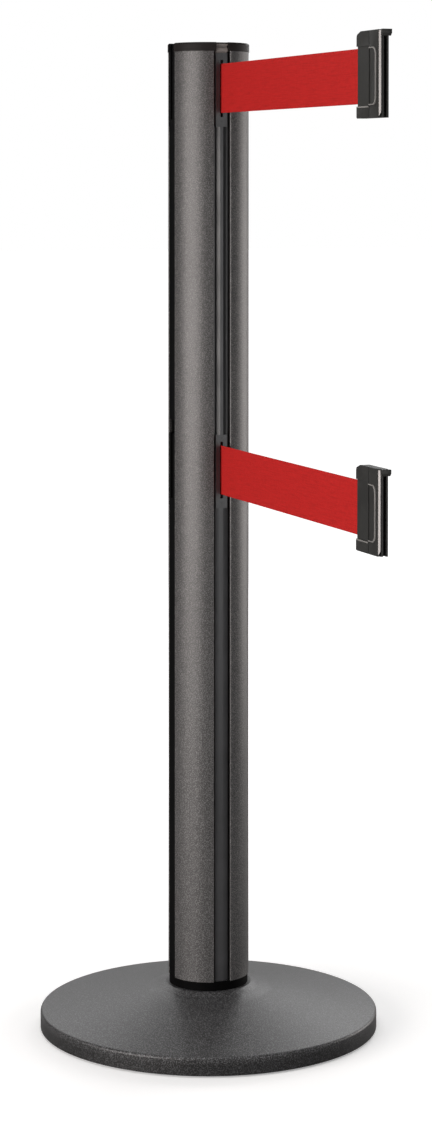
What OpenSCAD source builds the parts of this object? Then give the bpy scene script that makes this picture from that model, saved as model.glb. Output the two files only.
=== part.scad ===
// Retractable belt stanchion with two belts, on a weighted round base.
// Millimetres, Z up. The origin is the middle of the underside, on the floor.
// The belts pull out along +X. Receivers for other posts' clips face -X, +Y and -Y.

/* [Post] */
// Height of the whole stanchion
total_h = 1016; // [900:1:1100]
// Diameter of the post
post_d = 83; // [80:0.5:90]
// Wall of the post
post_wall = 3; // [2.5:0.5:4]
// Width of each of the four slots down the post
slot_w = 17.7; // [16:0.1:20]
// Distance from the post's axis to the outer face of a slot's floor
slot_floor_x = 33; // [32:0.5:34]
// Thickness of a slot's floor and sides
slot_wall = 2; // [1.5:0.5:2.5]
// Height of the cap on top of the post
cap_h = 9; // [7:0.5:12]
// How far the cap stands proud of the post
cap_overhang = 0.5; // [0.2:0.1:1]

/* [Base] */
// Diameter of the base
base_d = 348; // [300:1:400]
// Height of the base at its rim
rim_h = 19.5; // [17:0.5:24]
// Height of the base where the post stands on it
base_h = 46; // [42:0.5:55]
// Thickness of the spun cover
cover_t = 1.5; // [1:0.1:2]
// Height of the dark collar between the base and the post
collar_h = 9; // [6:0.5:12]
// Thickness of the rubber pad
pad_h = 3; // [2:0.5:5]

/* [Belts] */
// Width of a belt
belt_w = 50; // [45:1:52]
// Thickness of a belt
belt_t = 0.75; // [0.5:0.05:1]
// Length of belt that shows between the post and the clip
belt_out = 349; // [300:1:600]
// Height of the middle of the upper belt
upper_z = 969; // [960:1:969]
// Height of the middle of the lower belt
lower_z = 580; // [400:1:700]

/* [Clips] */
// Length of a clip along the belt
clip_l = 50.5; // [45:0.5:60]
// Height of a clip
clip_h = 78; // [70:1:80]
// Thickness of a clip
clip_t = 9; // [9:0.5:14]

/* [Hidden] */
$fn = 96;
post_r = post_d / 2;
base_r = base_d / 2;
cap_z = total_h - cap_h;
post_z = base_h + collar_h;
groove_half = slot_w / 2;
strip_half = groove_half - 0.25;
flange_x = slot_floor_x + 1.4;
strip_x = 38.2;
rib_half = 6.8;
cover_x = 40.1;
lip_cut = 0.9;
clear_r = slot_floor_x - slot_wall;
screw_port_r = 34.5;
port_bore_r = 2.1;
port_angles = [45, 135, 225, 315];
// A cassette's parts are placed from the middle of its belt
mouth_lo = -39;
mouth_hi = 36;
slit_half = 29;
slit_w = 3.5;
frame_lo = -37;
frame_hi = 34;
plate_t = 3;
frame_r = clear_r - 1;
axle_r = 3;
run_gap = 0.05;
fixed_gap = 0.02;
flange_in = 26.5;
flange_t = 1.5;
spool_r = 27.2;
core_r = 12;
coil_r = 24.6;
can_r = 26;
pin_x = 29.4;
pin_r = 1.5;
pin_offset = belt_t / 2 + 0.2 + pin_r;
// The screws that hold a mouth on its frame
screw_z_lo = -33.5;
screw_z_hi = 31.75;
screw_r = 1.2;
screw_head_r = 1.6;
screw_head_x = strip_x - 1.25;
nose_x = 26.5;
nose_half = 6.8;
// The clips
clip_x = post_r - 0.5 + belt_out;
edge_w = 2.1;
groove_lo = 0.5;
groove_hi = 2.8;
pocket_half = 3;
clip_end = clip_x + clip_l;
clip_top = clip_h / 2 + 1;
clip_bottom = clip_top - clip_h;
clip_half = clip_t / 2;
clamp_x = clip_x + 31;
clamp_r = 2.2;
hook_h = 6;
hook_neck_l = 3.6;
hook_head_l = 3.6;
hook_neck_w = 4.6;
hook_head_w = 9;
// Room above a lower receiver where a hook goes in
entry_h = 14;
// How far an upper receiver rises through its notch in the cap
cap_neck_h = 10;
dark = [0.06, 0.06, 0.065];
charcoal = [0.25, 0.25, 0.26];
steel = [0.6, 0.6, 0.62];

// ---- Helpers ----

// A ring or tube standing on height z
module ring(r_out, r_in, h, z = 0) {
  translate([0, 0, z]) difference() {
    cylinder(r = r_out, h = h);
    translate([0, 0, -1]) cylinder(r = r_in, h = h + 2);
  }
}

// A box given by its low and high corners
module block(lo, hi) {
  translate(lo) cube(hi - lo);
}

// Puts something at each of the screw ports
module at_ports() {
  for (a = port_angles) rotate(a) translate([screw_port_r, 0, 0]) children();
}

// Points along an arc about c, from angle a to angle b
function arc(c, r, a, b, steps = 6) =
  [for (i = [0:steps]) c + r * [cos(a + (b - a) * i / steps), sin(a + (b - a) * i / steps)]];

// ---- Base ----

// Half section of the space under the base's top surface, lowered by t all over
module base_section(t, low_z, hole_r) {
  shoulder = 3;
  polygon(concat(
    [[hole_r, low_z], [base_r - t, low_z]],
    arc([base_r - shoulder, rim_h - shoulder], shoulder - t * 0.9, 0, 80),
    [[64, 39.5 - t], [52, 42.4 - t], [44, base_h - t], [hole_r, base_h - t]]
  ));
}

// The spun steel cover with its rounded rim
module base_cover() color(charcoal) {
  rotate_extrude() difference() {
    base_section(0, 1.5, 6.5);
    base_section(cover_t, -5, 0);
    translate([-1, -5]) square([base_r - cover_t + 1, 5 + pad_h]);
  }
  ring(40, 6.5, cover_t, base_h - cover_t);
}

// The iron weight under the cover
module base_weight() color([0.2, 0.2, 0.2]) difference() {
  rotate_extrude() polygon([
    [0, pad_h], [168, pad_h], [168, 12], [60, 27], [36, 30], [36, base_h - cover_t], [0, base_h - cover_t]
  ]);
  cylinder(r = 6.5, h = base_h);
  translate([0, 0, -1]) cylinder(r = 14, h = 15);
}

// The rubber pad that covers the whole underside
module floor_pad() color(dark) cylinder(r = base_r - 4, h = pad_h);

// The bolt that holds the post on the base
module base_bolt() color(steel) {
  translate([0, 0, 4]) cylinder(r = 10.4, h = 7, $fn = 6);
  translate([0, 0, 11]) cylinder(r = 6, h = post_z - 11);
}

// The spring washer under the bolt's head
module lock_washer() color(steel) ring(10, 6.2, 1.5, 11);

// The flat washer above it
module base_washer() color(steel) ring(12, 6.2, 1.5, 12.5);

// The dark collar that the post seems to stand on
module post_collar() color(dark) ring(40.5, 38.2, collar_h, base_h);

// The plate that closes the foot of the post, tapped for the bolt
module foot_plate() color(steel) difference() {
  translate([0, 0, base_h]) cylinder(r = 38, h = collar_h);
  translate([0, 0, base_h - 1]) cylinder(r = 6 + fixed_gap, h = collar_h + 2);
  at_ports() translate([0, 0, base_h - 1]) cylinder(r = 2.6, h = collar_h + 2);
  at_ports() translate([0, 0, base_h - 1]) cylinder(r = 3.4, h = 4.5);
}

// The screws that hold the plate in the post's screw ports
module foot_screws() color(steel) at_ports() {
  translate([0, 0, base_h + 0.3]) cylinder(r = 3.3, h = 3.2);
  translate([0, 0, base_h + 3.5]) cylinder(r = port_bore_r, h = 25);
}

// ---- Post ----

// Section of the extruded post
module post_section() {
  difference() {
    union() {
      difference() {
        circle(r = post_r);
        circle(r = post_r - post_wall);
      }
      for (a = [0, 90, 180, 270]) rotate(a) translate([clear_r, -groove_half - slot_wall])
        square([post_r - post_wall - clear_r + 0.8, slot_w + 2 * slot_wall]);
      at_ports() circle(r = 4.2);
    }
    for (a = [0, 90, 180, 270]) rotate(a) translate([slot_floor_x, -groove_half]) square([20, slot_w]);
    for (a = [0, 90, 180, 270], side = [-1, 1]) rotate(a)
      translate([sqrt(pow(post_r, 2) - pow(groove_half, 2)), side * groove_half]) rotate(45)
        square(lip_cut, center = true);
    at_ports() circle(r = port_bore_r);
  }
}

// The window in the front slot's floor that a cassette's nose goes through
module nose_window(z) {
  block([clear_r - 1, -nose_half - 0.1, z + frame_lo], [slot_floor_x + 1, nose_half + 0.1, z + frame_hi]);
}

// The extruded post
module post_tube() color(charcoal) difference() {
  translate([0, 0, post_z]) linear_extrude(cap_z - post_z) post_section();
  nose_window(upper_z);
  nose_window(lower_z);
}

// The cap, with a notch over each slot
module post_cap() color(dark) {
  edge = 2;
  cap_r = post_r + cap_overhang;
  difference() {
    rotate_extrude() polygon(concat(
      [[0, cap_z], [cap_r, cap_z]],
      arc([cap_r - edge, total_h - edge], edge, 0, 90),
      [[0, total_h]]
    ));
    for (a = [0, 90, 180, 270], half = a == 0 ? rib_half : groove_half) rotate(a)
      block([slot_floor_x + 1, -half, cap_z - 1], [cap_r + 2, half, total_h + 1]);
    at_ports() translate([0, 0, cap_z - 1]) cylinder(r = 2.6, h = cap_h + 2);
    at_ports() translate([0, 0, total_h - 3.4]) cylinder(r = 4.1, h = 5);
  }
  translate([0, 0, cap_z - 2.5]) cylinder(r = frame_r, h = 2.5);
}

// The socket screws that hold the cap
module cap_screws() color(dark) at_ports() {
  difference() {
    translate([0, 0, total_h - 3.4]) cylinder(r = 3.9, h = 3);
    translate([0, 0, total_h - 2]) cylinder(r = 1.7, h = 3, $fn = 6);
  }
  translate([0, 0, total_h - 24]) cylinder(r = port_bore_r, h = 20.6);
}

// ---- What fills the slots ----

// Fronts of what stands in a slot, from its flange outwards, as [x, half width]
flat_front = [[flange_x, rib_half], [strip_x - 0.8, rib_half], [strip_x, rib_half - 0.8]];
ridge_front = [[flange_x, 5.6], [flange_x + 1.2, 5.6], [strip_x + 0.2, 1.6]];
cover_front = [[flange_x, strip_half], [cover_x - 0.5, strip_half], [cover_x, strip_half - 0.5]];
crown_front = concat([[flange_x, rib_half]], [for (t = [1:-0.2:0.1]) [strip_x - 1.2 * t * t, rib_half * t]]);

// The whole section: a flange on the slot's floor, and a front
function slot_section(front) = concat(
  [[slot_floor_x, -strip_half], [flange_x, -strip_half]],
  [for (p = front) [p[0], -p[1]]],
  [for (i = [len(front) - 1:-1:0]) front[i]],
  [[flange_x, strip_half], [slot_floor_x, strip_half]]
);

// A strip from one height to another
module strip(z_lo, z_hi, front) {
  translate([0, 0, z_lo]) linear_extrude(z_hi - z_lo) polygon(slot_section(front));
}

module front_strip_mid() color(dark) strip(lower_z + mouth_hi, upper_z + mouth_lo, ridge_front);

module front_strip_low() color(dark) strip(post_z, lower_z + mouth_lo, crown_front);

module side_strips_mid() color(dark) for (a = [90, 180, 270])
  rotate(a) strip(lower_z + mouth_hi + entry_h, upper_z + mouth_lo, cover_front);

module side_strips_low() color(dark) for (a = [90, 180, 270])
  rotate(a) strip(post_z, lower_z + mouth_lo, cover_front);

// A receiver: a block with a T slot that another belt's hook slides down. Its neck goes up through the cap
module receiver(neck_h = 0) {
  face_x = 40.3;
  neck_half = 2.8;
  head_half = 5.4;
  difference() {
    union() {
      block([slot_floor_x, -strip_half, mouth_lo], [face_x, strip_half, mouth_hi]);
      block([slot_floor_x + 1.2, -strip_half, mouth_lo], [face_x, strip_half, mouth_hi + neck_h]);
    }
    block([slot_floor_x + 1.2, -head_half, mouth_lo + 8], [face_x - 1.9, head_half, mouth_hi + neck_h + 1]);
    block([slot_floor_x + 1.2, -neck_half, mouth_lo + 8], [face_x + 1, neck_half, mouth_hi + neck_h + 1]);
  }
}

module upper_receiver_left() color(dark) rotate(270) translate([0, 0, upper_z]) receiver(cap_neck_h);
module upper_receiver_right() color(dark) rotate(90) translate([0, 0, upper_z]) receiver(cap_neck_h);
module upper_receiver_back() color(dark) rotate(180) translate([0, 0, upper_z]) receiver(cap_neck_h);
module lower_receiver_left() color(dark) rotate(270) translate([0, 0, lower_z]) receiver();
module lower_receiver_right() color(dark) rotate(90) translate([0, 0, lower_z]) receiver();
module lower_receiver_back() color(dark) rotate(180) translate([0, 0, lower_z]) receiver();

// ---- Cassette, built about the middle of its belt ----

// The two screws' axes through the mouth and the nose, pointing out of the post
module at_frame_screws() {
  for (z = [screw_z_lo, screw_z_hi]) translate([0, 0, z]) rotate([0, 90, 0]) children();
}

// The guide pins' axes, one on each side of the belt
module at_pins() {
  for (side = [-1, 1]) translate([pin_x, side * pin_offset, 0]) children();
}

// The frame: two plates, a round wall open towards the belt's way out, and the nose
module cassette_frame() {
  wall = 1.5;
  difference() {
    union() {
      translate([0, 0, frame_lo]) cylinder(r = frame_r, h = plate_t);
      translate([0, 0, frame_hi - plate_t]) cylinder(r = frame_r, h = plate_t);
      difference() {
        ring(frame_r, frame_r - wall, frame_hi - frame_lo - 2, frame_lo + 1);
        block([0, -12, frame_lo + plate_t], [40, 12, frame_hi - plate_t]);
      }
      block([nose_x, -nose_half, frame_lo], [slot_floor_x, nose_half, frame_lo + 7]);
      block([nose_x, -nose_half, frame_hi - 4.5], [slot_floor_x, nose_half, frame_hi]);
    }
    translate([0, 0, frame_lo - 1]) cylinder(r = axle_r + fixed_gap, h = frame_hi - frame_lo + 2);
    at_pins() translate([0, 0, -32]) cylinder(r = pin_r, h = 62.4);
    at_frame_screws() cylinder(r = screw_r, h = 40);
    translate([0, 0, frame_lo + plate_t]) cylinder(r = can_r, h = 4);
  }
}

// The mouth that closes the slot over the cassette, with the slit the belt comes out of
module cassette_mouth() {
  difference() {
    translate([0, 0, mouth_lo]) linear_extrude(mouth_hi - mouth_lo) polygon(slot_section(flat_front));
    block([30, -slit_w / 2, -slit_half], [40, slit_w / 2, slit_half]);
    at_frame_screws() cylinder(r = screw_r, h = 40);
    at_frame_screws() translate([0, 0, screw_head_x]) cylinder(r = screw_head_r + fixed_gap, h = 5);
  }
}

// The latch that locks the upper cassette in, with two ledges that show in the cap's notch
module cassette_latch() {
  half = rib_half - 0.4;
  block([flange_x, -half, mouth_hi], [strip_x - 1.5, half, mouth_hi + 9.5]);
  block([flange_x, -half, mouth_hi + 1.5], [strip_x + 0.4, half, mouth_hi + 5]);
  block([flange_x, -half, mouth_hi + 7.5], [strip_x, half, mouth_hi + 9.5]);
}

// The fixed axle that the spool turns on
module cassette_axle() {
  translate([0, 0, frame_lo]) cylinder(r = axle_r, h = frame_hi - frame_lo);
}

// The open can that holds the power spring
module spring_can() {
  bottom = frame_lo + plate_t;
  difference() {
    translate([0, 0, bottom]) cylinder(r = can_r, h = 5.4);
    translate([0, 0, bottom + 0.6]) cylinder(r = can_r - 1, h = 6);
    translate([0, 0, bottom - 1]) cylinder(r = 6, h = 8);
  }
}

// The power spring: a flat strip wound in a spiral round the spool's arbor
module power_spring() {
  turns = 7;
  r_in = 7;
  r_out = 23.5;
  steps = turns * 18;
  strip_t = 0.8;
  function spiral(i, r_add) = (r_in + r_add + (r_out - r_in) * i / steps)
    * [cos(360 * turns * i / steps), sin(360 * turns * i / steps)];
  translate([0, 0, frame_lo + plate_t + 0.8]) linear_extrude(4.4) polygon(concat(
    [for (i = [0:steps]) spiral(i, 0)],
    [for (i = [steps:-1:0]) spiral(i, strip_t)]
  ));
}

// The ring that the brake's shoes rub on, fixed under the top plate
module brake_ring() {
  ring(24, 20.5, 2.3, frame_hi - plate_t - 2.3);
}

// The two brake shoes that ride on the spool
module brake_shoes() {
  for (side = [0, 180]) rotate(side) intersection() {
    ring(20, 12, 1.8, flange_in + flange_t);
    block([-20, 4, 0], [20, 25, 60]);
  }
}

module guide_pins() {
  at_pins() translate([0, 0, -32]) cylinder(r = pin_r, h = 62.4);
}

module frame_screws() {
  at_frame_screws() {
    translate([0, 0, 28]) cylinder(r = screw_r, h = screw_head_x - 28);
    difference() {
      translate([0, 0, screw_head_x]) cylinder(r = screw_head_r, h = 1.2);
      translate([0, 0, screw_head_x + 0.7]) cylinder(r = 0.8, h = 2, $fn = 6);
    }
  }
}

// The spool: core, two flanges and the arbor that takes the spring's inner end
module spool() {
  difference() {
    union() {
      translate([0, 0, -flange_in]) cylinder(r = core_r, h = 2 * flange_in);
      translate([0, 0, -flange_in - flange_t]) cylinder(r = spool_r, h = flange_t);
      translate([0, 0, flange_in]) cylinder(r = spool_r, h = flange_t);
      translate([0, 0, frame_lo + plate_t + 0.4]) cylinder(r = 5.5, h = 6);
    }
    translate([0, 0, -50]) cylinder(r = axle_r + run_gap, h = 100);
  }
}

// The belt that is still wound on the spool
module belt_coil() {
  ring(coil_r, core_r + fixed_gap, belt_w, -belt_w / 2);
}

// The belt that is off the spool: round the guide pins, out of the slit and into the clip
module belt_run() {
  leave = 21.4;
  h = belt_t / 2;
  start = (coil_r + 0.3) * [cos(leave), -sin(leave)];
  end_x = clamp_x - clamp_r - 0.1;
  translate([0, 0, -belt_w / 2]) linear_extrude(belt_w) polygon([
    start, start + [belt_t, 0], [pin_x - 1.9, -h], [end_x, -h], [end_x, h], [pin_x - 2.5, h]
  ]);
}

// ---- Clip, built about the middle of its belt ----

// Outline of a clip's broad face, with its corners cut on the belt's side
module clip_outline() {
  cut = 3;
  polygon([
    [clip_x + cut, clip_bottom], [clip_end, clip_bottom], [clip_end, clip_top],
    [clip_x + cut, clip_top], [clip_x, clip_top - cut], [clip_x, clip_bottom + cut]
  ]);
}

// Half of a clip, between two distances from the belt's plane
module clip_slab(y_lo, y_hi) {
  translate([0, y_hi, 0]) rotate([90, 0, 0]) linear_extrude(y_hi - y_lo) clip_outline();
}

// What is hollow in a clip: the belt's slot, the clamp bar's pocket, the hook's seat and the end's groove
module clip_hollow() {
  slot_half = belt_w / 2 + 1;
  hook_z = clip_top - hook_h;
  block([clip_x - 1, -1.1, -slot_half], [clip_x + 4, 1.1, slot_half]);
  block([clip_x + 3, -pocket_half, -slot_half - 2], [clamp_x + 6, pocket_half, slot_half + 2]);
  block([clip_end - 9, -hook_neck_w / 2, hook_z], [clip_end + 1, hook_neck_w / 2, clip_top + 1]);
  block([clip_end - 4, groove_lo, clip_bottom - 1], [clip_end + 1, groove_hi, hook_z]);
}

// The clip screws' axes, pointing out of the back shell
module at_clip_screws() {
  for (z = [clip_bottom + 5.5, clip_top - 5.5]) translate([clip_x + 20, 0, z]) rotate([-90, 0, 0]) children();
}

module clip_front() {
  difference() {
    clip_slab(-clip_half, 0);
    clip_hollow();
    block([clip_end - 3, -clip_half - 1, clip_bottom - 1], [clip_end + 1, -clip_half + edge_w, clip_top + 1]);
    at_clip_screws() translate([0, 0, -3]) cylinder(r = 1.2, h = 8);
  }
}

module clip_back() {
  difference() {
    clip_slab(0, clip_half);
    clip_hollow();
    at_clip_screws() cylinder(r = 1.2, h = 10);
    at_clip_screws() translate([0, 0, clip_half - 1.5]) cylinder(r = 2.5, h = 5);
  }
}

// The bright metal edge down the clip's leading corner, cut on a slant at its foot
module clip_edge() {
  y = -clip_half;
  foot = clip_bottom + 1;
  difference() {
    translate([0, 0, foot]) linear_extrude(clip_h - 2) polygon([
      [clip_end - 3, y + 0.2], [clip_end - 1.6, y + 0.2], [clip_end, y + 1.4],
      [clip_end, y + edge_w], [clip_end - 3, y + edge_w]
    ]);
    translate([clip_end - 4, y, foot]) rotate([68, 0, 0]) translate([0, 0, -20]) cube([6, 10, 20]);
  }
}

// The hook that drops into another post's receiver
module clip_hook() {
  neck_end = clip_end + hook_neck_l;
  bottom = clip_top - hook_h;
  block([clip_end - 9, -hook_neck_w / 2, bottom], [neck_end, hook_neck_w / 2, clip_top]);
  translate([0, hook_head_w / 2, 0]) rotate([90, 0, 0]) linear_extrude(hook_head_w) polygon([
    [neck_end, bottom], [neck_end + hook_head_l, bottom + 2.5],
    [neck_end + hook_head_l, clip_top], [neck_end, clip_top]
  ]);
}

// The bar that the belt's end is wrapped on
module clamp_bar() {
  translate([clamp_x, 0, -belt_w / 2 - 2]) cylinder(r = clamp_r, h = belt_w + 4);
}

module clip_screws() {
  at_clip_screws() {
    translate([0, 0, -3]) cylinder(r = 1.2, h = clip_half + 1.5);
    difference() {
      translate([0, 0, clip_half - 1.5]) cylinder(r = 2.4, h = 1.3);
      translate([0, 0, clip_half - 1]) cylinder(r = 1.1, h = 3, $fn = 6);
    }
  }
}

// ---- The upper cassette, belt and clip ----

module upper_frame() color(dark) translate([0, 0, upper_z]) cassette_frame();
module upper_mouth() color(dark) translate([0, 0, upper_z]) cassette_mouth();
module upper_latch() color(charcoal) translate([0, 0, upper_z]) cassette_latch();
module upper_axle() color(steel) translate([0, 0, upper_z]) cassette_axle();
module upper_spring_can() color(steel) translate([0, 0, upper_z]) spring_can();
module upper_power_spring() color(steel) translate([0, 0, upper_z]) power_spring();
module upper_brake_ring() color(steel) translate([0, 0, upper_z]) brake_ring();
module upper_guide_pins() color(steel) translate([0, 0, upper_z]) guide_pins();
module upper_frame_screws() color(dark) translate([0, 0, upper_z]) frame_screws();
module upper_spool() color("gray") translate([0, 0, upper_z]) spool();
module upper_belt_coil() color("firebrick") translate([0, 0, upper_z]) belt_coil();
module upper_brake_shoes() color(dark) translate([0, 0, upper_z]) brake_shoes();
module upper_belt() color("firebrick") translate([0, 0, upper_z]) belt_run();
module upper_clip_front() color(dark) translate([0, 0, upper_z]) clip_front();
module upper_clip_back() color(dark) translate([0, 0, upper_z]) clip_back();
module upper_clip_edge() color("silver") translate([0, 0, upper_z]) clip_edge();
module upper_clip_hook() color(dark) translate([0, 0, upper_z]) clip_hook();
module upper_clamp_bar() color(steel) translate([0, 0, upper_z]) clamp_bar();
module upper_clip_screws() color(steel) translate([0, 0, upper_z]) clip_screws();

// ---- The lower cassette, belt and clip ----

module lower_frame() color(dark) translate([0, 0, lower_z]) cassette_frame();
module lower_mouth() color(dark) translate([0, 0, lower_z]) cassette_mouth();
module lower_axle() color(steel) translate([0, 0, lower_z]) cassette_axle();
module lower_spring_can() color(steel) translate([0, 0, lower_z]) spring_can();
module lower_power_spring() color(steel) translate([0, 0, lower_z]) power_spring();
module lower_brake_ring() color(steel) translate([0, 0, lower_z]) brake_ring();
module lower_guide_pins() color(steel) translate([0, 0, lower_z]) guide_pins();
module lower_frame_screws() color(dark) translate([0, 0, lower_z]) frame_screws();
module lower_spool() color("gray") translate([0, 0, lower_z]) spool();
module lower_belt_coil() color("firebrick") translate([0, 0, lower_z]) belt_coil();
module lower_brake_shoes() color(dark) translate([0, 0, lower_z]) brake_shoes();
module lower_belt() color("firebrick") translate([0, 0, lower_z]) belt_run();
module lower_clip_front() color(dark) translate([0, 0, lower_z]) clip_front();
module lower_clip_back() color(dark) translate([0, 0, lower_z]) clip_back();
module lower_clip_edge() color("silver") translate([0, 0, lower_z]) clip_edge();
module lower_clip_hook() color(dark) translate([0, 0, lower_z]) clip_hook();
module lower_clamp_bar() color(steel) translate([0, 0, lower_z]) clamp_bar();
module lower_clip_screws() color(steel) translate([0, 0, lower_z]) clip_screws();

// ---- Which node is drawn ----

base_cover();
base_weight();
floor_pad();
base_bolt();
base_washer();
lock_washer();
post_collar();
foot_plate();
foot_screws();
post_tube();
post_cap();
cap_screws();
front_strip_mid();
front_strip_low();
side_strips_mid();
side_strips_low();
upper_receiver_left();
upper_receiver_right();
upper_receiver_back();
lower_receiver_left();
lower_receiver_right();
lower_receiver_back();
upper_frame();
upper_mouth();
upper_latch();
upper_axle();
upper_spring_can();
upper_power_spring();
upper_brake_ring();
upper_guide_pins();
upper_frame_screws();
upper_spool();
upper_belt_coil();
upper_brake_shoes();
upper_belt();
upper_clip_front();
upper_clip_back();
upper_clip_edge();
upper_clip_hook();
upper_clamp_bar();
upper_clip_screws();
lower_frame();
lower_mouth();
lower_axle();
lower_spring_can();
lower_power_spring();
lower_brake_ring();
lower_guide_pins();
lower_frame_screws();
lower_spool();
lower_belt_coil();
lower_brake_shoes();
lower_belt();
lower_clip_front();
lower_clip_back();
lower_clip_edge();
lower_clip_hook();
lower_clamp_bar();
lower_clip_screws();
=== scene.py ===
"""Retractable belt stanchion: finishes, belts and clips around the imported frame. Metres, Z up."""
import math
import bpy
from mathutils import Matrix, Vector


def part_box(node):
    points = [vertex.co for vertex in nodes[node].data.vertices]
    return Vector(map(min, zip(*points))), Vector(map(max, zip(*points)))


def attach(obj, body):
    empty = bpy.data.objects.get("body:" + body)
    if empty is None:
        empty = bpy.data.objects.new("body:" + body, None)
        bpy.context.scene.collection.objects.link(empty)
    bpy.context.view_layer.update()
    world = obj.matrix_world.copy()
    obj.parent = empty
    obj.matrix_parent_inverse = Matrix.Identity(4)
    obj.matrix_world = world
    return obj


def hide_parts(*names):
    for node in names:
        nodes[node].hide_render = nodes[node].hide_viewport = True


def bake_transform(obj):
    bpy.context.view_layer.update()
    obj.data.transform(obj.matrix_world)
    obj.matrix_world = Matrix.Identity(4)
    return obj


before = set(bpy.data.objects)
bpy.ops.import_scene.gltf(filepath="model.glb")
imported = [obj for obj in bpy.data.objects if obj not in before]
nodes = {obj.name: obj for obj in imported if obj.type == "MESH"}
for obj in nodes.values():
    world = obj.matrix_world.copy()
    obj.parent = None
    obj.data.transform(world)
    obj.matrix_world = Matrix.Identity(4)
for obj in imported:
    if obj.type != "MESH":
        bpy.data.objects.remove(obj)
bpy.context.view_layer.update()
MM = 0.001


# ---------------------------------------------------------------- camera

CAMERA_AWAY = 2.877
CAMERA_HEIGHT = 0.876
CAMERA_TURN = math.radians(69.4)
CAMERA_TILT = math.radians(1.4)
CAMERA_SHIFT_Y = -0.2795
CAMERA_LENS = 89.3
CAMERA_SENSOR = 36
# The post stands a little left of the view's middle
LOOK_RIGHT = 0.0078


def make_camera():
    """The camera stands in front of the belts' mouths, a little below the top of the post."""
    back = Vector((math.sin(CAMERA_TURN), -math.cos(CAMERA_TURN), 0))
    right = Vector((-back.y, back.x, 0))
    bpy.ops.object.camera_add(location=back * CAMERA_AWAY + Vector((0, 0, CAMERA_HEIGHT)))
    camera = bpy.context.object
    drop = CAMERA_AWAY * math.tan(CAMERA_TILT)
    look_at = right * LOOK_RIGHT + Vector((0, 0, CAMERA_HEIGHT - drop))
    camera.rotation_mode = "QUATERNION"
    camera.rotation_quaternion = (look_at - camera.location).to_track_quat("-Z", "Y")
    camera.data.lens = CAMERA_LENS
    camera.data.sensor_width = CAMERA_SENSOR
    camera.data.shift_y = CAMERA_SHIFT_Y
    bpy.context.scene.camera = camera


# ---------------------------------------------------------------- studio

def split_by_ray(tree, thrown, seen, output):
    """One shader for what the camera sees and another for the light that is thrown on the object."""
    rays = tree.nodes.new("ShaderNodeLightPath")
    mix = tree.nodes.new("ShaderNodeMixShader")
    tree.links.new(rays.outputs["Is Camera Ray"], mix.inputs["Fac"])
    tree.links.new(thrown, mix.inputs[1])
    tree.links.new(seen, mix.inputs[2])
    tree.links.new(mix.outputs["Shader"], output.inputs["Surface"])


# The floor glows for the camera, least at the object's foot and most well past it; the weaker glow near
# the foot is painted shade round it
GLOW_REACH = (0.2, 1.2)
GLOW_STRENGTH = (0.3, 1.0)
FLOOR_WHITE = (0.9, 0.9, 0.9, 1)
FLOOR_BOUNCE = (0.35, 0.35, 0.35, 1)
WHITE = (1, 1, 1, 1)


def make_floor():
    """A plain pale floor, wide enough to fill every view, that throws little light back up."""
    bpy.ops.mesh.primitive_plane_add(size=60, location=(0, 0, -0.0005))
    floor = bpy.context.object
    floor.name = "studio_floor"
    material = bpy.data.materials.new("pale_floor")
    material.use_nodes = True
    tree = material.node_tree
    seen = tree.nodes["Principled BSDF"]
    seen.inputs["Base Color"].default_value = FLOOR_WHITE
    seen.inputs["Roughness"].default_value = 0.9
    seen.inputs["Specular IOR Level"].default_value = 0.1
    seen.inputs["Emission Color"].default_value = WHITE
    where = tree.nodes.new("ShaderNodeTexCoord")
    away = tree.nodes.new("ShaderNodeVectorMath")
    away.operation = "LENGTH"
    tree.links.new(where.outputs["Object"], away.inputs[0])
    glow = tree.nodes.new("ShaderNodeMapRange")
    glow.inputs["From Min"].default_value, glow.inputs["From Max"].default_value = GLOW_REACH
    glow.inputs["To Min"].default_value, glow.inputs["To Max"].default_value = GLOW_STRENGTH
    tree.links.new(away.outputs["Value"], glow.inputs["Value"])
    tree.links.new(glow.outputs["Result"], seen.inputs["Emission Strength"])
    bounce = tree.nodes.new("ShaderNodeBsdfDiffuse")
    bounce.inputs["Color"].default_value = FLOOR_BOUNCE
    split_by_ray(tree, bounce.outputs["BSDF"], seen.outputs["BSDF"], tree.nodes["Material Output"])
    floor.data.materials.append(material)


def soft_light(name, place, aim, size, power, colour=(1, 1, 1)):
    """A rectangular soft box at a place, pointed at aim."""
    bpy.ops.object.light_add(type="AREA", location=place)
    light = bpy.context.object
    light.name = name
    light.data.shape = "RECTANGLE"
    light.data.size, light.data.size_y = size
    light.data.energy = power
    light.data.color = colour
    light.visible_camera = False
    light.rotation_mode = "QUATERNION"
    light.rotation_quaternion = (Vector(aim) - Vector(place)).to_track_quat("-Z", "Y")


def around(turn, away, height):
    """A place at a turn from the camera's side of the post, positive to its right."""
    angle = CAMERA_TURN + math.radians(turn)
    return (away * math.sin(angle), -away * math.cos(angle), height)


WORLD_FILL = 0.15


def make_world():
    """White behind everything, and a softer even light on it."""
    world = bpy.data.worlds.new("studio")
    world.use_nodes = True
    tree = world.node_tree
    fill = tree.nodes["Background"]
    fill.inputs["Color"].default_value = WHITE
    fill.inputs["Strength"].default_value = WORLD_FILL
    backdrop = tree.nodes.new("ShaderNodeBackground")
    backdrop.inputs["Color"].default_value = WHITE
    backdrop.inputs["Strength"].default_value = 1
    split_by_ray(tree, fill.outputs["Background"], backdrop.outputs["Background"],
                 tree.nodes["World Output"])
    bpy.context.scene.world = world
    bpy.context.scene.view_settings.view_transform = "Standard"


WARM = (1.0, 0.95, 0.92)


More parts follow.
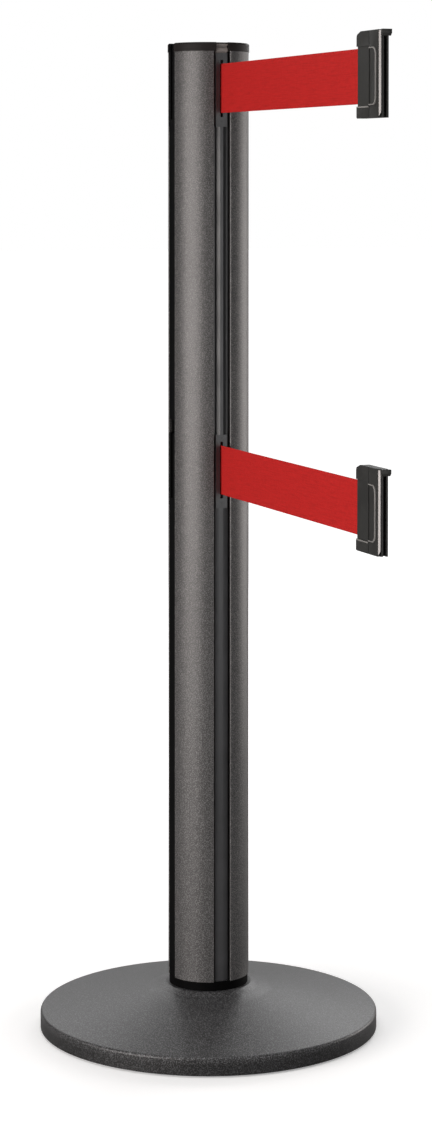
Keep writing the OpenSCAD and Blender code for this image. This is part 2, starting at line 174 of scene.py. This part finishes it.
def make_lights():
    soft_light("key", around(-48, 2.4, 0.62), (0, 0, 0.45), (2.2, 1.3), 62, WARM)
    soft_light("front_fill", around(34, 2.6, 0.5), (0, 0, 0.4), (1.1, 1.2), 11)
    soft_light("right_rim", around(120, 2.2, 0.55), (0, 0, 0.4), (1.5, 1.2), 21, WARM)
    soft_light("back", around(180, 3.0, 0.9), (0, 0, 0.3), (3.6, 1.7), 9)
    soft_light("back_left", around(-160, 2.6, 1.7), (0, 0, 0), (1.2, 1.2), 9)
    soft_light("back_right", around(158, 2.6, 1.7), (0, 0, 0), (1.2, 1.2), 16)
    soft_light("top", (0.3, -0.3, 3.2), (0, 0, 0), (2.2, 2.2), 26)


# ---------------------------------------------------------------- finishes

def new_material(name, colour, roughness, metallic=0.0, specular=0.5):
    """A principled material whose even values sit on the shader's own sockets."""
    material = bpy.data.materials.new(name)
    material.use_nodes = True
    shader = material.node_tree.nodes["Principled BSDF"]
    shader.inputs["Base Color"].default_value = (*colour, 1)
    shader.inputs["Roughness"].default_value = roughness
    shader.inputs["Metallic"].default_value = metallic
    shader.inputs["Specular IOR Level"].default_value = specular
    return material, material.node_tree, shader


def place_pattern(tree, scale=(1, 1, 1), source="Object"):
    """The pattern's coordinates, in metres on the piece, stretched by scale."""
    where = tree.nodes.new("ShaderNodeTexCoord")
    mapping = tree.nodes.new("ShaderNodeMapping")
    mapping.inputs["Scale"].default_value = scale
    tree.links.new(where.outputs[source], mapping.inputs["Vector"])
    return mapping.outputs["Vector"]


def noise(tree, vector, grain, detail=2.0):
    """Noise with grains of that size, in metres."""
    texture = tree.nodes.new("ShaderNodeTexNoise")
    texture.inputs["Scale"].default_value = 1 / grain
    texture.inputs["Detail"].default_value = detail
    tree.links.new(vector, texture.inputs["Vector"])
    return texture.outputs["Fac"]


def ramp(tree, value, stops):
    """A colour ramp from (position, colour) stops."""
    node = tree.nodes.new("ShaderNodeValToRGB")
    band = node.color_ramp
    band.elements[0].position, band.elements[0].color = stops[0][0], (*stops[0][1], 1)
    band.elements[1].position, band.elements[1].color = stops[-1][0], (*stops[-1][1], 1)
    for position, colour in stops[1:-1]:
        band.elements.new(position).color = (*colour, 1)
    tree.links.new(value, node.inputs["Fac"])
    return node.outputs["Color"]


def spread(tree, value, low, high):
    """Value from 0.3-0.7, where noise mostly lies, turned into low-high."""
    node = tree.nodes.new("ShaderNodeMapRange")
    node.inputs["From Min"].default_value = 0.3
    node.inputs["From Max"].default_value = 0.7
    node.inputs["To Min"].default_value = low
    node.inputs["To Max"].default_value = high
    tree.links.new(value, node.inputs["Value"])
    return node.outputs["Result"]


def bump(tree, shader, height, strength, distance):
    """Adds a bump from a height, on top of any the shader already has."""
    node = tree.nodes.new("ShaderNodeBump")
    node.inputs["Strength"].default_value = strength
    node.inputs["Distance"].default_value = distance
    tree.links.new(height, node.inputs["Height"])
    under = shader.inputs["Normal"].links
    if under:
        tree.links.new(under[0].from_socket, node.inputs["Normal"])
    tree.links.new(node.outputs["Normal"], shader.inputs["Normal"])


def mix_colours(tree, factor, first, second):
    """A colour output mixed with a second one, or with an even colour, by a factor output."""
    node = tree.nodes.new("ShaderNodeMix")
    node.data_type = "RGBA"
    tree.links.new(factor, node.inputs["Factor"])
    tree.links.new(first, node.inputs["A"])
    if isinstance(second, tuple):
        node.inputs["B"].default_value = (*second, 1)
    else:
        tree.links.new(second, node.inputs["B"])
    return node.outputs["Result"]


def powder_coat(name, dark, light, fleck, roughness, metallic, size):
    """A fine-textured powder coat with metallic flecks in it."""
    material, tree, shader = new_material(name, dark, roughness, metallic)
    even = place_pattern(tree)
    cloud = noise(tree, even, 0.06, 3)
    grain = noise(tree, even, size, 1)
    ground = ramp(tree, cloud, [(0.3, dark), (0.7, light)])
    flecks = ramp(tree, grain, [(0.46, (0, 0, 0)), (0.68, (1, 1, 1))])
    tree.links.new(mix_colours(tree, flecks, ground, fleck), shader.inputs["Base Color"])
    tree.links.new(spread(tree, grain, roughness - 0.08, roughness + 0.08), shader.inputs["Roughness"])
    bump(tree, shader, noise(tree, even, size * 1.5, 2), 0.25, 0.00014)
    return material


# Axes that measure how far a place is from the floor, or from the post's middle line
HEIGHT = (0, 0, 1)
RADIUS = (1, 1, 0)


def paint_shade_near(material, axes, low, high, least):
    """Darkens a finish with painted shade near the floor or the post's middle: least of it is left at
    low, all at high.
    """
    tree = material.node_tree
    shader = tree.nodes["Principled BSDF"]
    away = tree.nodes.new("ShaderNodeVectorMath")
    away.operation = "LENGTH"
    tree.links.new(place_pattern(tree, axes), away.inputs[0])
    fade = tree.nodes.new("ShaderNodeMapRange")
    fade.inputs["From Min"].default_value = low
    fade.inputs["From Max"].default_value = high
    fade.inputs["To Min"].default_value = least
    tree.links.new(away.outputs["Value"], fade.inputs["Value"])
    dimmed = tree.nodes.new("ShaderNodeVectorMath")
    dimmed.operation = "SCALE"
    tree.links.new(shader.inputs["Base Color"].links[0].from_socket, dimmed.inputs[0])
    tree.links.new(fade.outputs["Result"], dimmed.inputs["Scale"])
    tree.links.new(dimmed.outputs["Vector"], shader.inputs["Base Color"])


def moulded_plastic(name, colour, roughness, grain=0.0007, depth=0.00008, specular=0.35):
    """Moulded plastic with a fine spark-eroded skin and a little dust in it."""
    material, tree, shader = new_material(name, colour, roughness, 0, specular)
    even = place_pattern(tree)
    paler = tuple(c * 1.5 for c in colour)
    wear = noise(tree, even, 0.03, 4)
    tree.links.new(ramp(tree, wear, [(0.35, colour), (0.75, paler)]), shader.inputs["Base Color"])
    tree.links.new(spread(tree, wear, roughness - 0.06, roughness + 0.08), shader.inputs["Roughness"])
    bump(tree, shader, noise(tree, even, grain, 2), 0.35, depth)
    return material


def brushed_metal(name, colour, roughness):
    """Metal with fine upright scratches."""
    material, tree, shader = new_material(name, colour, roughness, 1.0)
    lines = noise(tree, place_pattern(tree, (1, 1, 0.02)), 0.0005, 3)
    darker = tuple(c * 0.75 for c in colour)
    tree.links.new(ramp(tree, lines, [(0.3, darker), (0.7, colour)]), shader.inputs["Base Color"])
    tree.links.new(spread(tree, lines, roughness - 0.06, roughness + 0.1), shader.inputs["Roughness"])
    bump(tree, shader, lines, 0.2, 0.00004)
    return material


def rough_casting(name, colour):
    """Sand-cast iron."""
    material, tree, shader = new_material(name, colour, 0.7, 0.4)
    even = place_pattern(tree)
    sand = noise(tree, even, 0.002, 5)
    rusty = (colour[0] * 1.5, colour[1] * 1.1, colour[2] * 0.9)
    tree.links.new(ramp(tree, sand, [(0.35, colour), (0.8, rusty)]), shader.inputs["Base Color"])
    bump(tree, shader, sand, 0.5, 0.0006)
    return material


def rubber(name, colour):
    """Matt rubber with a faint bloom."""
    material, tree, shader = new_material(name, colour, 0.8, 0, 0.3)
    even = place_pattern(tree)
    bloom = noise(tree, even, 0.02, 4)
    pale = tuple(c + 0.015 for c in colour)
    tree.links.new(ramp(tree, bloom, [(0.4, colour), (0.8, pale)]), shader.inputs["Base Color"])
    bump(tree, shader, noise(tree, even, 0.0012, 2), 0.3, 0.0001)
    return material


# Yarns of the webbing, in metres
WARP_PITCH = 0.0009
WEFT_PITCH = 0.0007


def wave(tree, vector, axis, pitch):
    """Sine ridges across one axis of a metre-scaled map, from -1 to 1."""
    parts = tree.nodes.new("ShaderNodeSeparateXYZ")
    tree.links.new(vector, parts.inputs["Vector"])
    turn = tree.nodes.new("ShaderNodeMath")
    turn.operation = "MULTIPLY"
    turn.inputs[1].default_value = math.tau / pitch
    tree.links.new(parts.outputs[axis], turn.inputs[0])
    sine = tree.nodes.new("ShaderNodeMath")
    sine.operation = "SINE"
    tree.links.new(turn.outputs["Value"], sine.inputs[0])
    return sine.outputs["Value"]


def webbing(name, colour, length, width):
    """Woven polyester webbing: plain weave on the belt's own UV map, with uneven yarns."""
    material, tree, shader = new_material(name, colour, 0.8, 0, 0.08)
    cloth = place_pattern(tree, (length, width, 1), "UV")
    warp = wave(tree, cloth, "Y", WARP_PITCH)
    weft = wave(tree, cloth, "X", WEFT_PITCH)
    weave = tree.nodes.new("ShaderNodeMath")
    weave.operation = "MULTIPLY"
    tree.links.new(warp, weave.inputs[0])
    tree.links.new(weft, weave.inputs[1])
    streaks = noise(tree, place_pattern(tree, (length * 0.05, width, 1), "UV"), 0.0012, 3)
    patches = noise(tree, cloth, 0.004, 3)
    dark = tuple(c * 0.78 for c in colour)
    pale = tuple(min(1, c * 1.1) for c in colour)
    yarns = ramp(tree, streaks, [(0.3, dark), (0.5, colour), (0.72, pale)])
    mottle = ramp(tree, patches, [(0.3, dark), (0.65, pale)])
    amount = ramp(tree, weave.outputs["Value"], [(0.0, (0.25,) * 3), (1.0, (0.6,) * 3)])
    tree.links.new(mix_colours(tree, amount, yarns, mottle), shader.inputs["Base Color"])
    bump(tree, shader, weave.outputs["Value"], 0.5, 0.00012)
    bump(tree, shader, patches, 0.15, 0.0002)
    return material


def paint_nodes(material, *names):
    """Gives CAD nodes a finish on their own material slots."""
    for name in names:
        for place in nodes[name].material_slots:
            place.link = "OBJECT"
            place.material = material


def both(*names):
    """Node names on the upper and the lower level."""
    return [f"{level}_{name}" for level in ("upper", "lower") for name in names]


# Colours: each coat's darkest, lightest and fleck, then the plastics, rubber, metals and cloth
BASE_COAT = ((0.02, 0.0195, 0.02), (0.028, 0.0275, 0.028), (0.16, 0.16, 0.165))
POST_COAT = ((0.05, 0.048, 0.048), (0.062, 0.06, 0.06), (0.17, 0.166, 0.165))
# Two copies of one black plastic: the lighter one below is painted light on the front strips and
# mouths, the near-black one painted shade in the side slots, on the receivers and on the post's collar
STRIP_BLACK = (0.026, 0.026, 0.028)
SHADED_BLACK = (0.002, 0.002, 0.0021)
CAP_BLACK = (0.013, 0.011, 0.0105)
INNER_BLACK = (0.02, 0.02, 0.02)
LATCH_GREY = (0.16, 0.14, 0.13)
SPOOL_GREY = (0.35, 0.35, 0.34)
CLIP_BLACK = (0.018, 0.018, 0.017)
# Pale grey on the clips' proud ridges, a painted highlight
RIDGE_HIGHLIGHT_GREY = (0.16, 0.155, 0.15)
CAST_IRON = (0.1, 0.1, 0.1)
RUBBER_BLACK = (0.02, 0.02, 0.02)
ZINC = (0.6, 0.6, 0.58)
BRIGHT_STEEL = (0.62, 0.62, 0.64)
SPRING_STEEL = (0.3, 0.32, 0.38)
BLACK_OXIDE = (0.03, 0.03, 0.032)
EDGE_METAL = (0.26, 0.25, 0.247)
BELT_RED = (0.432, 0.0158, 0.0148)

# Heights between which the base's rolled rim goes from painted shade to its full colour, in metres
RIM_SHADE_BOTTOM = 0.011
RIM_SHADE_TOP = 0.0185
# Radii between which the post's coat, darkened by painted shade deep in the grooves, gets its full
# colour
GROOVE_SHADE_INNER = 0.0375
GROOVE_SHADE_OUTER = 0.04


def paint_frame():
    post = powder_coat("post_coat", *POST_COAT, 0.44, 0.4, 0.0009)
    base = powder_coat("base_coat", *BASE_COAT, 0.42, 0.3, 0.0012)
    # Painted shade: the base's rim darker near the floor
    paint_shade_near(base, HEIGHT, RIM_SHADE_BOTTOM, RIM_SHADE_TOP, 0.45)
    # Painted shade: the post's coat near black deep in its grooves
    paint_shade_near(post, RADIUS, GROOVE_SHADE_INNER, GROOVE_SHADE_OUTER, 0.06)
    paint_nodes(post, "post_tube")
    paint_nodes(base, "base_cover")
    cap = moulded_plastic("cap_plastic", CAP_BLACK, 0.5, specular=0.1)
    # This black plastic is the lit copy, painted light, and the near-black one after it the shaded
    # copy, painted shade
    strips = moulded_plastic("strip_plastic", STRIP_BLACK, 0.36, specular=0.6)
    shaded_black = moulded_plastic("receiver_plastic", SHADED_BLACK, 0.6, specular=0.03)
    latch = moulded_plastic("latch_plastic", LATCH_GREY, 0.45)
    inner = moulded_plastic("frame_plastic", INNER_BLACK, 0.5)
    spools = moulded_plastic("spool_plastic", SPOOL_GREY, 0.45)
    paint_nodes(cap, "post_cap")
    paint_nodes(shaded_black, "post_collar")
    paint_nodes(latch, "upper_latch")
    paint_nodes(strips, "front_strip_mid", "front_strip_low", *both("mouth"))
    paint_nodes(shaded_black, "side_strips_mid", "side_strips_low")
    paint_nodes(shaded_black, *both("receiver_left", "receiver_right", "receiver_back"))
    paint_nodes(inner, *both("frame"))
    paint_nodes(spools, *both("spool"))
    paint_nodes(rough_casting("cast_iron", CAST_IRON), "base_weight")
    paint_nodes(rubber("rubber_pad", RUBBER_BLACK), "floor_pad", *both("brake_shoes"))
    zinc = brushed_metal("zinc_steel", ZINC, 0.35)
    paint_nodes(zinc, "base_bolt", "lock_washer", "base_washer", "foot_screws", "foot_plate")
    drawn = brushed_metal("bright_steel", BRIGHT_STEEL, 0.25)
    paint_nodes(drawn, *both("axle", "guide_pins", "clamp_bar", "spring_can", "brake_ring"))
    paint_nodes(brushed_metal("spring_steel", SPRING_STEEL, 0.3), *both("power_spring"))
    blacked = brushed_metal("black_oxide", BLACK_OXIDE, 0.4)
    paint_nodes(blacked, "cap_screws", *both("clip_screws"))
    paint_nodes(strips, *both("frame_screws"))
    wound = moulded_plastic("wound_belt", BELT_RED, 0.75, WEFT_PITCH)
    paint_nodes(wound, *both("belt_coil"))
    edge = brushed_metal("clip_edge_metal", EDGE_METAL, 0.5)
    paint_nodes(edge, *both("clip_edge"))


# ---------------------------------------------------------------- modelling

def start():
    bpy.ops.object.select_all(action="DESELECT")


def box_piece(name, low, high):
    """A box between two corners, to be shaped further, with its place in its mesh."""
    start()
    low, high = Vector(low), Vector(high)
    bpy.ops.mesh.primitive_cube_add(size=1, location=(low + high) / 2)
    piece = bpy.context.object
    piece.name = name
    piece.scale = high - low
    bpy.ops.object.transform_apply(location=True, rotation=True, scale=True)
    return piece


def bevel_edges(piece, along, test, width, segments):
    """Bevels the edges that run along an axis, 0 to 2, and whose two ends both pass a test."""
    for vertex in piece.data.vertices:
        vertex.select = False
    for edge in piece.data.edges:
        first, last = (piece.data.vertices[i].co for i in edge.vertices)
        straight = abs((last - first)[along]) > 0.9 * (last - first).length
        edge.select = straight and test(first) and test(last)
    for face in piece.data.polygons:
        face.select = False
    bpy.context.view_layer.objects.active = piece
    bpy.ops.object.mode_set(mode="EDIT")
    bpy.ops.mesh.select_mode(type="EDGE")
    bpy.ops.mesh.bevel(offset=width, offset_type="OFFSET", segments=segments, affect="EDGES")
    bpy.ops.object.mode_set(mode="OBJECT")


def trim(piece, point, away):
    """Cuts off what lies beyond a plane, and closes the cut."""
    start()
    bpy.context.view_layer.objects.active = piece
    piece.select_set(True)
    bpy.ops.object.mode_set(mode="EDIT")
    bpy.ops.mesh.select_all(action="SELECT")
    bpy.ops.mesh.bisect(plane_co=point, plane_no=away, use_fill=True, clear_outer=True)
    bpy.ops.object.mode_set(mode="OBJECT")


def combine(piece, other, operation):
    """Cuts other out of a piece, or adds it, and removes other."""
    start()
    bpy.context.view_layer.objects.active = piece
    piece.select_set(True)
    change = piece.modifiers.new("change", "BOOLEAN")
    change.operation = operation
    change.solver = "EXACT"
    change.object = other
    bpy.ops.object.modifier_apply(modifier=change.name)
    bpy.data.objects.remove(other)


def soften(piece, width, segments=2):
    """Rounds every sharp edge a little and shades the piece smooth between them."""
    start()
    bpy.context.view_layer.objects.active = piece
    piece.select_set(True)
    rounding = piece.modifiers.new("rounding", "BEVEL")
    rounding.width = width
    rounding.segments = segments
    rounding.limit_method = "ANGLE"
    rounding.angle_limit = math.radians(35)
    bpy.ops.object.modifier_apply(modifier=rounding.name)
    bpy.ops.object.shade_smooth_by_angle(angle=math.radians(40))


def copy_down(piece, name, drop):
    """The same piece on the lower level, with its own mesh."""
    copy = piece.copy()
    copy.data = piece.data.copy()
    copy.name = name
    bpy.context.scene.collection.objects.link(copy)
    for vertex in copy.data.vertices:
        vertex.co.z -= drop
    return copy


# ---------------------------------------------------------------- belts

BELT_THICK = 0.75 * MM
BELT_Y = 0.0
# The run starts just inside the mouth, past the guide pins
BELT_START = 0.0295
# Cells along and across the run, fine enough to stretch evenly
CELLS_ALONG = 150
CELLS_ACROSS = 12


def make_belt(name, material, end_x, belt_low, belt_high):
    """One belt's flat run, from inside the mouth to inside the clip."""
    start()
    length = end_x - BELT_START
    width = belt_high.z - belt_low.z
    middle = Vector(((end_x + BELT_START) / 2, BELT_Y, (belt_low.z + belt_high.z) / 2))
    bpy.ops.mesh.primitive_grid_add(x_subdivisions=CELLS_ALONG, y_subdivisions=CELLS_ACROSS, size=1,
                                    location=middle, rotation=(math.pi / 2, 0, 0))
    belt = bpy.context.object
    belt.name = name
    belt.scale = (length, width, 1)
    bpy.ops.object.transform_apply(location=True, rotation=True, scale=True)
    solid = belt.modifiers.new("thickness", "SOLIDIFY")
    solid.thickness = BELT_THICK
    solid.offset = 0
    bpy.ops.object.modifier_apply(modifier=solid.name)
    edge_z = width / 2 - 0.1 * MM
    bevel_edges(belt, 0, lambda c: abs(c.z - middle.z) > edge_z, BELT_THICK * 0.35, 2)
    bpy.ops.object.shade_smooth_by_angle(angle=math.radians(50))
    belt.data.materials.append(material)
    return belt


def make_belts():
    for level in ("upper", "lower"):
        low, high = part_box(f"{level}_belt")
        end_x = high.x
        length, width = end_x - BELT_START, high.z - low.z
        cloth = webbing(f"{level}_webbing", BELT_RED, length, width)
        belt = make_belt(f"{level}_belt_run", cloth, end_x, low, high)
        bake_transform(belt)
        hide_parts(f"{level}_belt")


# ---------------------------------------------------------------- clips

# A clip's own sizes: x from its tail, y outwards from the belt, z from the belt's middle
CLIP_HALF = 4.5 * MM
# Past the clip, for a tool that cuts right through it
OUTSIDE = 9 * MM
OPEN_ENDS = (-45 * MM, 45 * MM)
# The slope of the tail's top corner, in two flats, and the small one at its foot
TAIL_DROP, TAIL_SLOPE = 5 * MM, (-1, 0, 0.55)
CROWN_DROP, CROWN_SLOPE = 3.2 * MM, (-0.35, 0, 1)
FOOT_CUT, FOOT_SLOPE = 1.2 * MM, (-1, 0, -1)
# The slit that the belt enters by, and the pocket that its clamp bar lies in
SLIT_X, SLIT_Y, SLIT_Z = (-2 * MM, 4 * MM), (-1 * MM, 1.1 * MM), (-26 * MM, 26 * MM)
POCKET_X, POCKET_Y, POCKET_Z = (3 * MM, 37 * MM), (-1 * MM, 3 * MM), (-28 * MM, 28 * MM)
# The sunk panel, the seam between it and the grip, and the ledge under it
CLIP_SEAM = 28 * MM
SEAM_HALF, SEAM_DEPTH = 0.4 * MM, 0.8 * MM
PANEL_Z = (-28 * MM, 26.5 * MM)
PANEL_END, PANEL_DEPTH, PANEL_TAIL = CLIP_SEAM - 0.8 * MM, 0.7 * MM, 1.4 * MM
LEDGE_Y = (CLIP_HALF - 1.5 * MM, CLIP_HALF + 0.45 * MM)
LEDGE_Z = (PANEL_Z[0] - 0.5 * MM, PANEL_Z[0] + 0.7 * MM)
# The grip's proud rim, and the dish inside it
GRIP_START, GRIP_END = CLIP_SEAM + 0.35 * MM, 44.5 * MM
GRIP_LOW, GRIP_HIGH = -26.5 * MM, 25 * MM
GRIP_ROOT, RIM_TOP = CLIP_HALF - 2 * MM, CLIP_HALF + 0.8 * MM
RIM_CORNER, DISH_CORNER = 7 * MM, 6 * MM
DISH_END = GRIP_END - 2.4 * MM
DISH_LOW, DISH_HIGH = GRIP_LOW + 1 * MM, GRIP_HIGH - 1 * MM
DISH_FLOOR = CLIP_HALF - 0.35 * MM
# The leading end, with x back from it: the hook's notch, the metal edge's seat and the gap in the nose
NOTCH_BACK, NOTCH_Y, NOTCH_Z = 9 * MM, (-1 * MM, 2.3 * MM), (34 * MM, 45 * MM)
EDGE_BACK, EDGE_Y = 3 * MM, (2.4 * MM, OUTSIDE)
EDGE_LIP_BACK, EDGE_LIP_Y = 1.6 * MM, (1.7 * MM, 2.5 * MM)
NOSE_BACK, NOSE_Z = 5 * MM, (-45 * MM, 34 * MM)
FRONT_NOSE_Y, BACK_NOSE_Y = (-1 * MM, 0.4 * MM), (-1 * MM, 2.9 * MM)
# The screws' sunk seats, in the back shell
SCREW_X = 20 * MM
SCREW_PLACES = (-32.5 * MM, 34.5 * MM)
SCREW_SEAT_R, SCREW_SEAT_DEEP = 2.5 * MM, 4 * MM
SHELL_ROUNDING = 0.25 * MM


def clip_box(name, side, x, y, z):
    """A box on one side of the upper clip, from ranges in the clip's own sizes."""
    ys = sorted(BELT_Y + side * value for value in y)
    return box_piece(name, (clip_low.x + x[0], ys[0], clip_middle + z[0]),
                     (clip_low.x + x[1], ys[1], clip_middle + z[1]))


def cut_box(shell, side, x, y, z):
    combine(shell, clip_box("tool", side, x, y, z), "DIFFERENCE")


def cut_lead(shell, side, back, y, z):
    """Cuts a box out of the leading end, from a distance back from it."""
    length = clip_high.x - clip_low.x
    cut_box(shell, side, (length - back, length + 1 * MM), y, z)


def slope_tail(shell):
    """The sloped corners of the tail."""
    top = Vector((clip_low.x, BELT_Y, clip_high.z))
    trim(shell, top - Vector((0, 0, TAIL_DROP)), TAIL_SLOPE)
    trim(shell, top - Vector((0, 0, CROWN_DROP)), CROWN_SLOPE)
    foot = Vector((clip_low.x, BELT_Y, clip_low.z))
    trim(shell, foot + Vector((FOOT_CUT, 0, 0)), FOOT_SLOPE)


def sink_panel(shell, side):
    """The sunk panel behind the seam, and the ledge along its foot."""
    cut_box(shell, side, (-1 * MM, PANEL_END), (CLIP_HALF - PANEL_DEPTH, OUTSIDE), PANEL_Z)
    cut_box(shell, side, (-1 * MM, PANEL_TAIL), (-1 * MM, OUTSIDE), PANEL_Z)
    seam_x = (CLIP_SEAM - SEAM_HALF, CLIP_SEAM + SEAM_HALF)
    cut_box(shell, side, seam_x, (CLIP_HALF - SEAM_DEPTH, OUTSIDE), OPEN_ENDS)
    combine(shell, clip_box("ledge", side, (1 * MM, PANEL_END), LEDGE_Y, LEDGE_Z), "UNION")


def grip_pad(side, end, low, high, top, corner):
    """The pad with rounded leading corners that a thumb pushes on."""
    pad = clip_box("pad", side, (GRIP_START, end), (GRIP_ROOT, top), (low, high))
    front = clip_low.x + end - 0.1 * MM
    bevel_edges(pad, 1, lambda c: c.x > front, corner, 6)
    return pad


def dish_tool(side):
    """What is taken out of the grip inside its rim."""
    return grip_pad(side, DISH_END, DISH_LOW, DISH_HIGH, OUTSIDE, DISH_CORNER)


def raise_grip(shell, side):
    """The grip's proud rim, with a shallow dish inside it."""
    rim = grip_pad(side, GRIP_END, GRIP_LOW, GRIP_HIGH, RIM_TOP, RIM_CORNER)
    combine(rim, dish_tool(side), "DIFFERENCE")
    combine(shell, rim, "UNION")
    dish = dish_tool(side)
    for vertex in dish.data.vertices:
        if abs(vertex.co.y - BELT_Y) < CLIP_HALF:
            vertex.co.y = BELT_Y + side * DISH_FLOOR
    combine(shell, dish, "DIFFERENCE")


def drill_seat(shell, place):
    """The sunk seat of one of the back shell's screws."""
    start()
    seat = (clip_low.x + SCREW_X, BELT_Y + CLIP_HALF + 0.5 * MM, clip_middle + place)
    bpy.ops.mesh.primitive_cylinder_add(vertices=32, radius=SCREW_SEAT_R, depth=SCREW_SEAT_DEEP,
                                        rotation=(math.pi / 2, 0, 0), location=seat)
    combine(shell, bpy.context.object, "DIFFERENCE")


def clip_shell(name, side):
    """One half of the upper clip. Side is -1 for the front shell and 1 for the back."""
    length = clip_high.x - clip_low.x
    low, high = clip_low.z - clip_middle, clip_high.z - clip_middle
    shell = clip_box(name, side, (0, length), (0, CLIP_HALF), (low, high))
    slope_tail(shell)
    cut_box(shell, side, SLIT_X, SLIT_Y, SLIT_Z)
    cut_box(shell, side, POCKET_X, POCKET_Y, POCKET_Z)
    sink_panel(shell, side)
    raise_grip(shell, side)
    cut_lead(shell, side, NOTCH_BACK, NOTCH_Y, NOTCH_Z)
    if side < 0:
        cut_lead(shell, side, EDGE_BACK, EDGE_Y, OPEN_ENDS)
        cut_lead(shell, side, EDGE_LIP_BACK, EDGE_LIP_Y, OPEN_ENDS)
        cut_lead(shell, side, NOSE_BACK, FRONT_NOSE_Y, NOSE_Z)
    else:
        cut_lead(shell, side, NOSE_BACK, BACK_NOSE_Y, NOSE_Z)
        for place in SCREW_PLACES:
            drill_seat(shell, place)
    soften(shell, SHELL_ROUNDING)
    return shell


def paint_ridge_highlight(shell, paler):
    """Gives the proud ridges their paler finish, a painted highlight."""
    shell.data.materials.append(paler)
    for face in shell.data.polygons:
        if abs(face.center.y - BELT_Y) > CLIP_HALF + 0.1 * MM:
            face.material_index = 1


# The hook: the length of its head, its neck's half width, its sloped foot and its top pocket's walls
HOOK_HEAD = 3.6 * MM
NECK_HALF = 2.3 * MM
HOOK_FOOT = 2.4 * MM
HOOK_WALL_X, HOOK_WALL_Y, HOOK_SINK = 0.8 * MM, 1.2 * MM, 1.2 * MM


def clip_hook(name, hook_low, hook_high):
    """The hook on the leading end, with a shallow pocket in its top."""
    low, high = Vector(hook_low), Vector(hook_high)
    head_x = high.x - HOOK_HEAD
    hook = box_piece(name, (low.x, BELT_Y - NECK_HALF, low.z),
                     (head_x + 0.1 * MM, BELT_Y + NECK_HALF, high.z))
    head = box_piece("head", (head_x, low.y, low.z), high)
    bevel_edges(head, 1, lambda c: c.x > high.x - 1e-5 and c.z < low.z + 1e-5, HOOK_FOOT, 1)
    combine(hook, head, "UNION")
    pocket = box_piece("pocket", (head_x + HOOK_WALL_X, low.y + HOOK_WALL_Y, high.z - HOOK_SINK),
                       (high.x - HOOK_WALL_X, high.y - HOOK_WALL_Y, high.z + 1 * MM))
    combine(hook, pocket, "DIFFERENCE")
    soften(hook, 0.3 * MM)
    return hook


def make_clips():
    """The upper clip's shells and hook, and copies of them on the lower level."""
    plastic = moulded_plastic("clip_plastic", CLIP_BLACK, 0.45, 0.0009, 0.0001)
    # The pale plastic for the proud ridges is a painted highlight
    paler = moulded_plastic("ridge_highlight_plastic", RIDGE_HIGHLIGHT_GREY, 0.4, 0.0009, 0.0001)
    drop = clip_middle - (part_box("lower_belt")[0].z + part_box("lower_belt")[1].z) / 2
    made = {
        "clip_front": (clip_shell("upper_front_shell", -1), "front_shell"),
        "clip_back": (clip_shell("upper_back_shell", 1), "back_shell"),
        "clip_hook": (clip_hook("upper_hook", *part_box("upper_clip_hook")), "hook"),
    }
    for node, (piece, plain) in made.items():
        piece.data.materials.append(plastic)
        if node != "clip_hook":
            paint_ridge_highlight(piece, paler)
        lower = copy_down(piece, f"lower_{plain}", drop)
        for level, part in (("upper", piece), ("lower", lower)):
            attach(part, f"{level}_pull")
            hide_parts(f"{level}_{node}")


make_camera()
make_world()
make_floor()
make_lights()
paint_frame()
# The upper clip's two ends and its middle height, which its pieces are placed from
clip_low, clip_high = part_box("upper_clip_front")[0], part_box("upper_clip_back")[1]
clip_middle = (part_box("upper_belt")[0].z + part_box("upper_belt")[1].z) / 2
make_belts()
make_clips()
